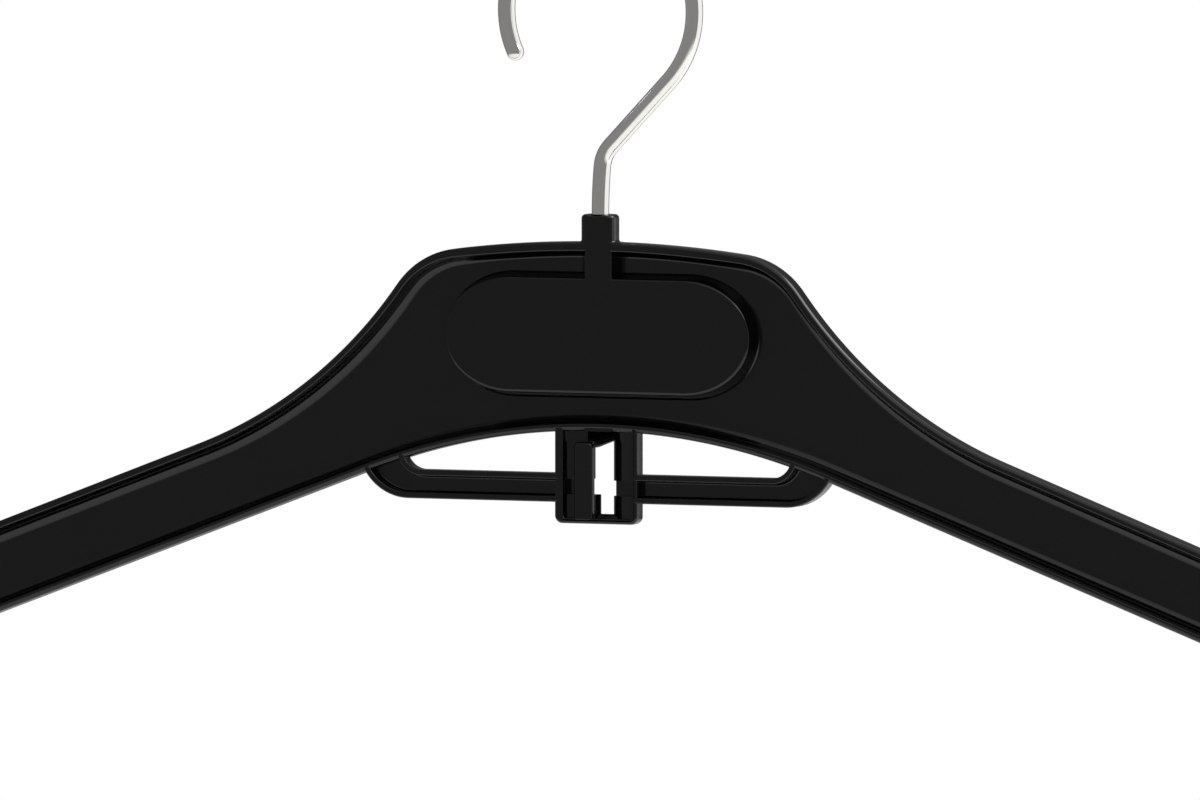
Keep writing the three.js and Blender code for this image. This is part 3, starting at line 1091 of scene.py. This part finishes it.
    def jamb(self, plan: MeshPlan, order: int, low: float, high: float) -> None:
        """Adds a stretch of the right jamb, whose front slopes down to the keyhole.

        Args:
            plan: The floor's plan.
            order: Its place among the pieces of floor.
            low: Lower end of the stretch.
            high: Upper end of the stretch.
        """
        wall = self.right - self.right_wall
        end = wall + self.root
        front, back = DATUM.front, DATUM.front + self.back(order)
        corners = [
            Corner(self.key_right, front + self.jamb_low),
            Corner(self.jamb_knee, front + self.jamb_knee_depth, self.jamb_round),
            Corner(wall, front + self.jamb_high),
            Corner(end, front + self.jamb_high),
            Corner(end, back),
            Corner(self.key_right, back),
        ]
        plan.prism(corners, Facing.TOP, high, 0.0, high - low)

    def left_foot(self, plan: MeshPlan, low: float, high: float) -> None:
        """Adds a stretch of the fillet at the foot of the left wall.

        Args:
            plan: The floor's plan.
            low: Lower end of the stretch.
            high: Upper end of the stretch.
        """
        wall = self.left + self.left_wall - FLUSH
        floor = DATUM.front + self.floor_depth - FLUSH
        end = wall + self.left_fillet_reach
        rise = floor - self.left_fillet_reach
        corners = [
            Corner(wall - self.root, rise),
            Corner(wall - self.root, floor + self.root),
            Corner(end, floor + self.root),
            Corner(end, floor),
            Corner(wall, floor, self.left_fillet),
            Corner(wall, rise),
        ]
        plan.prism(corners, Facing.TOP, high, 0.0, high - low)

    def bridge(self, plan: MeshPlan, order: int, corners: Sequence[Corner]) -> None:
        """Adds a stretch of the sloping floor above the keyhole, which meets the rim at its deepest."""
        drop = DATUM.underside - min(corner.up for corner in corners)
        self.block(plan, order, corners, self.bridge_depth - self.bridge_lean * drop, self.bridge_lean)

    def build_floor(self) -> None:
        """Builds the pieces of floor round the keyhole."""
        left = self.left + self.left_wall - self.root
        right = self.right - self.right_wall + self.root
        high = DATUM.underside + self.root
        low = self.floor_end - self.root
        soft = self.floor_corner
        finger_top = DATUM.underside - self.finger_gap
        groove_low = self.channel_low - self.root
        groove_high = self.channel_high + self.root
        ledge = self.channel_low + self.ledge_rise
        notch = self.key_right + self.key_notch
        slot_bottom = self.floor_end + self.slot_bottom_gap
        plan = MeshPlan()
        level_pieces = (
            ((left, self.bridge_left, finger_top - self.root, high), self.floor_depth),
            ((left, self.key_left, self.channel_high, finger_top + soft), self.floor_depth),
            ((left, self.finger_side, low, ledge), self.floor_depth),
            ((self.finger_side - soft, self.slot_left, low, ledge), self.hollow_depth),
            ((left, self.key_left - soft, groove_low, groove_high), DATUM.channel),
            ((notch, right, groove_low, groove_high), DATUM.channel),
        )
        for order, (sides, depth) in enumerate(level_pieces):
            self.block(plan, order, rectangle(*sides, soft), depth)
        order = len(level_pieces)
        slot = rectangle(self.slot_left - self.root, right, low, slot_bottom, soft)
        self.block(plan, order, slot, self.floor_depth, self.slot_lean)
        left_bridge = rectangle(self.bridge_left, self.finger_side + soft, finger_top, high, soft)
        self.bridge(plan, order + 1, left_bridge)
        slanting = [
            Corner(self.finger_side, self.key_top(self.finger_side), soft),
            Corner(self.bridge_right, self.key_top(self.bridge_right), soft),
            Corner(self.bridge_right, high, soft),
            Corner(self.finger_side, high, soft),
        ]
        self.bridge(plan, order + 2, slanting)
        self.jamb(plan, order + 3, self.channel_high - self.jamb_drop, high)
        self.jamb(plan, order + 3, low, self.channel_low + self.jamb_rise)
        self.left_foot(plan, self.channel_high, high)
        self.left_foot(plan, low, ledge)
        lip = rectangle(self.bridge_left, self.bridge_right, DATUM.underside - self.lip_drop, high, 0.0)
        plan.prism(lip, Facing.FRONT, DATUM.front, self.lip_front, self.lip_depth)
        self.keep(plan, "socket_floor")


@dataclass
class LatchFinger(SubAssembly):
    """The sprung finger that stands up in the socket and closes the keyhole."""

    body: str = "latch"
    node: str = "latch_finger"
    edge: float = 0.8
    back_edge: float = 0.15
    corner: float = 0.9
    root: float = 1.3  # how far the foot runs on over the bottom wall

    def build(self) -> None:
        """Carries a rounded section round the finger's outline."""
        low, high = (np.array(corner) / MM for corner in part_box(self.node))
        outline = rectangle(low[0], high[0], low[2] - self.root, high[2], self.corner)
        depth = high[1] - low[1]
        section = ArcPath.trace(
            Corner(self.edge, 0.0),
            Corner(0.0, 0.0, self.edge),
            Corner(0.0, depth, self.back_edge),
            Corner(self.edge, depth),
        )
        plan = MeshPlan()
        plan.moulding(ArcPath.loop(outline), section, Facing.FRONT, low[1])
        self.keep(plan, "sprung_latch_finger")


@dataclass
class SwivelHook(SubAssembly):
    """The hook: a wire that rises from the boss, slants away from the axis and bows back over it."""

    body: str = "hook"
    node: str = "swivel_hook"
    slot: str = "plated_steel"
    wire: float = 3.8
    lean_radius: float = 120.0  # slight curve of the shank above the boss
    bend_radius: float = 7.2
    slant: float = math.radians(43.5)  # lean of the straight stretch between the bend and the bow
    bow_radius: float = 22.0
    sweep: float = math.radians(205)
    shank_rise: float = 10.5
    groove_from_end: float = 2.0
    groove_width: float = 1.8
    groove_depth: float = 0.55
    groove_edge: float = 0.1
    round_stations: int = 64
    tip_stations: int = 12
    longest: float = 0.8

    def line(self) -> ArcPath:
        """Centre line of the wire, in the X and Z plane.

        The slant is as long as it takes for the bow's centre to lie on the swivel axis.

        Returns:
            The path from the end in the boss to the tip.
        """
        end = float(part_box(self.node)[0][2]) / MM
        lean = self.shank_rise / self.lean_radius
        bend_centre = self.lean_radius - (self.lean_radius - self.bend_radius) * math.cos(lean)
        bend_end = bend_centre - self.bend_radius * math.cos(self.slant)
        run = self.bow_radius / math.tan(self.slant) - bend_end / math.sin(self.slant)
        pieces = [
            (0.0, DATUM.boss_top - end),
            (-1 / self.lean_radius, self.shank_rise),
            (-1 / self.bend_radius, self.bend_radius * (self.slant - lean)),
            (0.0, run),
            (1 / self.bow_radius, self.bow_radius * (self.slant + self.sweep)),
        ]
        return ArcPath.walk(np.array([0.0, end]), math.pi / 2, pieces)

    def shank_end(self) -> np.ndarray:
        """Distances and radii along the end of the shank, over its retaining groove.

        Returns:
            The distances and the radii, one row each.
        """
        radius, edge = self.wire / 2, self.groove_edge
        begin, end = self.groove_from_end, self.groove_from_end + self.groove_width
        return ArcPath.trace(
            Corner(0.0, radius),
            Corner(begin, radius, edge),
            Corner(begin + edge, radius - self.groove_depth, edge),
            Corner(end - edge, radius - self.groove_depth, edge),
            Corner(end, radius, edge),
            Corner(end + self.groove_from_end, radius),
        )

    def build(self) -> None:
        """Carries a circle along the centre line.

        A point is the line's point plus the radius times the cosine of its angle along the line's normal
        and times the sine across it. The radius drops in the retaining groove, and over the tip it falls as
        the cosine of an angle whose sine carries the circle on past the end of the line.
        """
        path = self.line()
        radius = self.wire / 2
        shape = self.shank_end()
        rest = path.stations(self.longest)
        rest = np.append(rest[rest > shape[-1, 0]], path.ends[-1])
        over = np.linspace(0, np.pi / 2, self.tip_stations, endpoint=False)[1:]
        distance = np.concatenate([shape[:, 0], rest, np.full(len(over), path.ends[-1])])
        reach = np.concatenate([shape[:, 1], np.full(len(rest), radius), radius * np.cos(over)])
        past = np.concatenate([np.zeros(len(shape) + len(rest)), radius * np.sin(over)])
        centre, left = path.at(distance)
        ahead = np.stack([left[:, 1], -left[:, 0]], axis=-1)
        centre = centre + past[:, None] * ahead
        angle = np.linspace(0, 2 * np.pi, self.round_stations, endpoint=False)
        aside, across = reach[:, None] * np.cos(angle), reach[:, None] * np.sin(angle)
        flat = centre[:, None, :] + aside[..., None] * left[:, None, :]
        plan = MeshPlan()
        numbers = plan.add(np.stack([flat[..., 0], across, flat[..., 1]], axis=-1))
        plan.skin(numbers, round_columns=True)
        plan.ladder(numbers[0])
        plan.ladder(numbers[-1])
        piece = self.keep(plan, "swivel_hook_wire")
        along = np.broadcast_to((distance + past)[:, None], across.shape)
        straight = np.stack([aside, across, along], axis=-1)
        run = piece.data.attributes.new(PlatedWire.attribute, "FLOAT_VECTOR", "POINT")
        run.data.foreach_set("vector", (straight * MM).astype(np.float32).ravel())


@dataclass(frozen=True)
class Softbox:
    """A soft rectangular lamp that faces the object."""

    name: str
    bearing: float  # degrees to the right of the front
    elevation: float
    distance: float  # metres
    width: float
    height: float
    radiance: float
    mirrored: bool = True

    def build(self, aim: Vector) -> None:
        """Adds the lamp, turned to its aim.

        Args:
            aim: The point that the lamp faces.
        """
        data = bpy.data.lights.new(self.name, "AREA")
        data.shape = "RECTANGLE"
        data.size = self.width
        data.size_y = self.height
        data.energy = self.radiance * math.pi * self.width * self.height
        lamp = bpy.data.objects.new(self.name, data)
        towards = bearing_vector(self.bearing, self.elevation)
        lamp.location = aim + towards * self.distance
        lamp.rotation_euler = towards.to_track_quat("Z", "Y").to_euler()
        lamp.visible_camera = False
        lamp.visible_glossy = self.mirrored
        bpy.context.scene.collection.objects.link(lamp)


def bearing_vector(bearing: float, elevation: float) -> Vector:
    """Direction at a bearing to the right of the front and an elevation, both in degrees."""
    turn, lift = math.radians(bearing), math.radians(elevation)
    return Vector((math.sin(turn) * math.cos(lift), -math.cos(turn) * math.cos(lift), math.sin(lift)))


@dataclass(frozen=True)
class Studio:
    """Pale floor, grey tent, soft lamps and the camera at the photograph's angle."""

    bearing: float = 22.0
    elevation: float = 3.5
    lens: float = 1100.0  # about as flat as the photograph
    sensor: float = 36.0
    far_clip: float = 3.0  # times the camera's distance
    hook_axis_pixel: float = 600.4  # across the picture
    crown_pixel: float = 241.6  # down the picture
    floor_level: float = -0.27
    floor_radius: float = 0.75
    floor_fade: float = 0.35  # share of the radius where the floor begins to fade
    floor_colour: str = "#f4f4f2"
    room: float = 0.65
    tent_radius: float = 1.7
    tent_top: float = 1.3
    tent_foot: float = -1.0
    tent_front: float = 0.245
    tent_back: float = 0.13
    roof_left: float = 0.15
    roof_right: float = 1.3
    roof_reach: float = 1.0  # metres to each side, where the roof has those two levels
    opening_begin: float = 78.0  # degrees to the right of the front
    opening_end: float = 157.0
    wall_bearings: int = 120
    wall_heights: int = 12
    disc_rings: int = 24
    disc_spokes: int = 96
    softboxes: tuple[Softbox, ...] = (
        Softbox("right_panel", 117.0, 6.0, 1.3, 1.4, 1.0, 1.3, mirrored=False),
        Softbox("right_key", 105.0, 46.0, 1.4, 1.2, 0.7, 4.0),
        Softbox("top_fill", 0.0, 88.0, 1.6, 1.6, 1.6, 0.6, mirrored=False),
    )

    def build(self) -> None:
        """Builds the whole set."""
        bpy.context.scene.view_settings.view_transform = "Standard"
        self.build_world()
        self.build_tent()
        self.build_floor()
        centre = Vector((0.0, 0.0, DATUM.underside * MM))
        for softbox in self.softboxes:
            softbox.build(centre)
        self.build_camera()

    def build_world(self) -> None:
        """White to the camera and in reflections, and an even grey light on matt surfaces."""
        world = bpy.data.worlds.new("white_room")
        tree = blank_tree(world)
        rays = add_node(tree, "ShaderNodeLightPath")
        seen = rays.outputs["Is Camera Ray"]
        for kind in ("Is Glossy Ray", "Is Transmission Ray"):
            inputs = {0: seen, 1: rays.outputs[kind]}
            seen = add_node(tree, "ShaderNodeMath", inputs, operation="MAXIMUM").outputs["Value"]
        level = add_node(tree, "ShaderNodeMapRange", {"Value": seen, "To Min": self.room, "To Max": 1.0})
        white = {"Color": linear("#ffffff"), "Strength": level.outputs["Result"]}
        sky = add_node(tree, "ShaderNodeBackground", white)
        add_node(tree, "ShaderNodeOutputWorld", {"Surface": sky.outputs["Background"]})
        bpy.context.scene.world = world

    def disc(self, radius: float, level: float) -> MeshPlan:
        """Plans a level disc, as a grid of radius and angle round a filled ring.

        Args:
            radius: Its radius in metres.
            level: Its height in metres.

        Returns:
            The plan.
        """
        reach = np.linspace(0.0, radius, self.disc_rings)[1:]
        angle = np.linspace(0, 2 * np.pi, self.disc_spokes, endpoint=False)
        flat = reach[:, None, None] * directions(angle)[None, :, :]
        height = np.full((*flat.shape[:2], 1), level)
        plan = MeshPlan()
        numbers = plan.add(np.concatenate([flat, height], axis=-1) / MM)
        plan.skin(numbers, round_columns=True)
        plan.ladder(numbers[0])
        return plan

    def build_tent(self) -> None:
        """A grey tent round the set, open to the white on the right, which only reflections see.

        The wall is a grid of bearing and height on a cylinder, and a disc is the roof.
        """
        wall_end = self.opening_begin + 360
        bearing = np.radians(np.linspace(self.opening_end, wall_end, self.wall_bearings))
        ring = np.stack([np.sin(bearing), -np.cos(bearing)], axis=-1) * self.tent_radius
        height = np.linspace(self.tent_foot, self.tent_top, self.wall_heights)
        grid = np.empty((len(ring), len(height), 3))
        grid[..., :2] = ring[:, None, :]
        grid[..., 2] = height
        wall = MeshPlan()
        wall.skin(wall.add(grid / MM))
        roof = self.disc(self.tent_radius, self.tent_top)
        behind = (0.0, self.tent_radius, self.tent_front, self.tent_back)
        across = (-self.roof_reach, self.roof_reach, self.roof_left, self.roof_right)
        for plan, name, axis, glow in ((wall, "tent_wall", "Y", behind), (roof, "tent_roof", "X", across)):
            cloth = plan.build(name)
            cloth.data.materials.append(self.cloth(name, axis, glow))
            cloth.visible_camera = False
            cloth.visible_diffuse = False
            cloth.visible_shadow = False

    def cloth(self, name: str, axis: str, glow: tuple[float, float, float, float]) -> Material:
        """Grey cloth lit from outside, evenly brighter or darker along one axis.

        Args:
            name: The part of the tent.
            axis: The axis that its brightness follows.
            glow: Where the change begins and ends along the axis, and the brightness there.

        Returns:
            The material, on Object coordinates.
        """
        material = bpy.data.materials.new(f"backlit_grey_cloth_{name}")
        tree = blank_tree(material)
        place = add_node(tree, "ShaderNodeTexCoord").outputs["Object"]
        along = add_node(tree, "ShaderNodeSeparateXYZ", {"Vector": place}).outputs[axis]
        names = ("From Min", "From Max", "To Min", "To Max")
        level = add_node(tree, "ShaderNodeMapRange", {"Value": along, **dict(zip(names, glow))})
        light = add_node(tree, "ShaderNodeEmission", {"Strength": level.outputs["Result"]})
        add_node(tree, "ShaderNodeOutputMaterial", {"Surface": light.outputs["Emission"]})
        return material

    def build_floor(self) -> None:
        """A pale disc that fades out at its rim."""
        floor = self.disc(self.floor_radius, self.floor_level).build("pale_floor")
        floor.data.materials.append(self.floor_finish())

    def floor_finish(self) -> Material:
        """Matt pale paper that fades to nothing towards the rim of the floor.

        Returns:
            The material, on Object coordinates.
        """
        material = bpy.data.materials.new("matt_paper_floor")
        tree = blank_tree(material)
        place = add_node(tree, "ShaderNodeTexCoord").outputs["Object"]
        scale = (1.0 / self.floor_radius, 1.0 / self.floor_radius, 0.0)
        flat = add_node(tree, "ShaderNodeVectorMath", {0: place, 1: scale}, operation="MULTIPLY")
        reach = add_node(tree, "ShaderNodeVectorMath", {0: flat.outputs["Vector"]}, operation="LENGTH")
        stretch = {"Value": reach.outputs["Value"], "From Min": self.floor_fade, "From Max": 1.0}
        fade = add_node(tree, "ShaderNodeMapRange", stretch, interpolation_type="SMOOTHSTEP")
        paper = add_node(tree, "ShaderNodeBsdfDiffuse", {"Color": linear(self.floor_colour)})
        clear = add_node(tree, "ShaderNodeBsdfTransparent")
        layers = {0: fade.outputs["Result"], 1: paper.outputs["BSDF"], 2: clear.outputs["BSDF"]}
        mixed = add_node(tree, "ShaderNodeMixShader", layers)
        add_node(tree, "ShaderNodeOutputMaterial", {"Surface": mixed.outputs["Shader"]})
        return material

    def build_camera(self) -> None:
        """A long lens at the photograph's angle, which puts the hook's axis and the crown on their pixels."""
        data = bpy.data.cameras.new("photo_camera")
        data.lens = self.lens
        data.sensor_width = self.sensor
        data.sensor_fit = "HORIZONTAL"
        width = PICTURE_WIDTH / PIXELS_PER_MM * MM
        distance = width * self.lens / self.sensor
        back = bearing_vector(self.bearing, self.elevation)
        turn = back.to_track_quat("Z", "Y")
        right = turn @ Vector((1.0, 0.0, 0.0))
        up = turn @ Vector((0.0, 1.0, 0.0))
        across = (PICTURE_WIDTH / 2 - self.hook_axis_pixel) / PIXELS_PER_MM * MM
        down = (self.crown_pixel - PICTURE_HEIGHT / 2) / PIXELS_PER_MM * MM
        aim = Vector((0.0, 0.0, DATUM.crown * MM)) + right * across + up * down
        camera = bpy.data.objects.new("photo_camera", data)
        camera.location = aim + back * distance
        camera.rotation_euler = turn.to_euler()
        data.clip_end = self.far_clip * distance
        bpy.context.scene.collection.objects.link(camera)
        bpy.context.scene.camera = camera


def main() -> None:
    """Builds and dresses the sub-assemblies in order, then the studio round them."""
    logging.basicConfig(level=logging.INFO, format="%(name)s %(message)s")
    plastic = MouldedPolypropylene().make()
    steel = PlatedWire().make()
    shoulders = ShoulderMoulding()
    moulded = [shoulders, LabelPad(), Neck(), UnderBar(shoulders=shoulders), KeyholeSocket(), LatchFinger()]
    for assembly in moulded:
        assembly.build()
        assembly.dress(plastic)
    hook = SwivelHook()
    hook.build()
    hook.dress(steel)
    Studio().build()


if __name__ == "__main__":
    main()
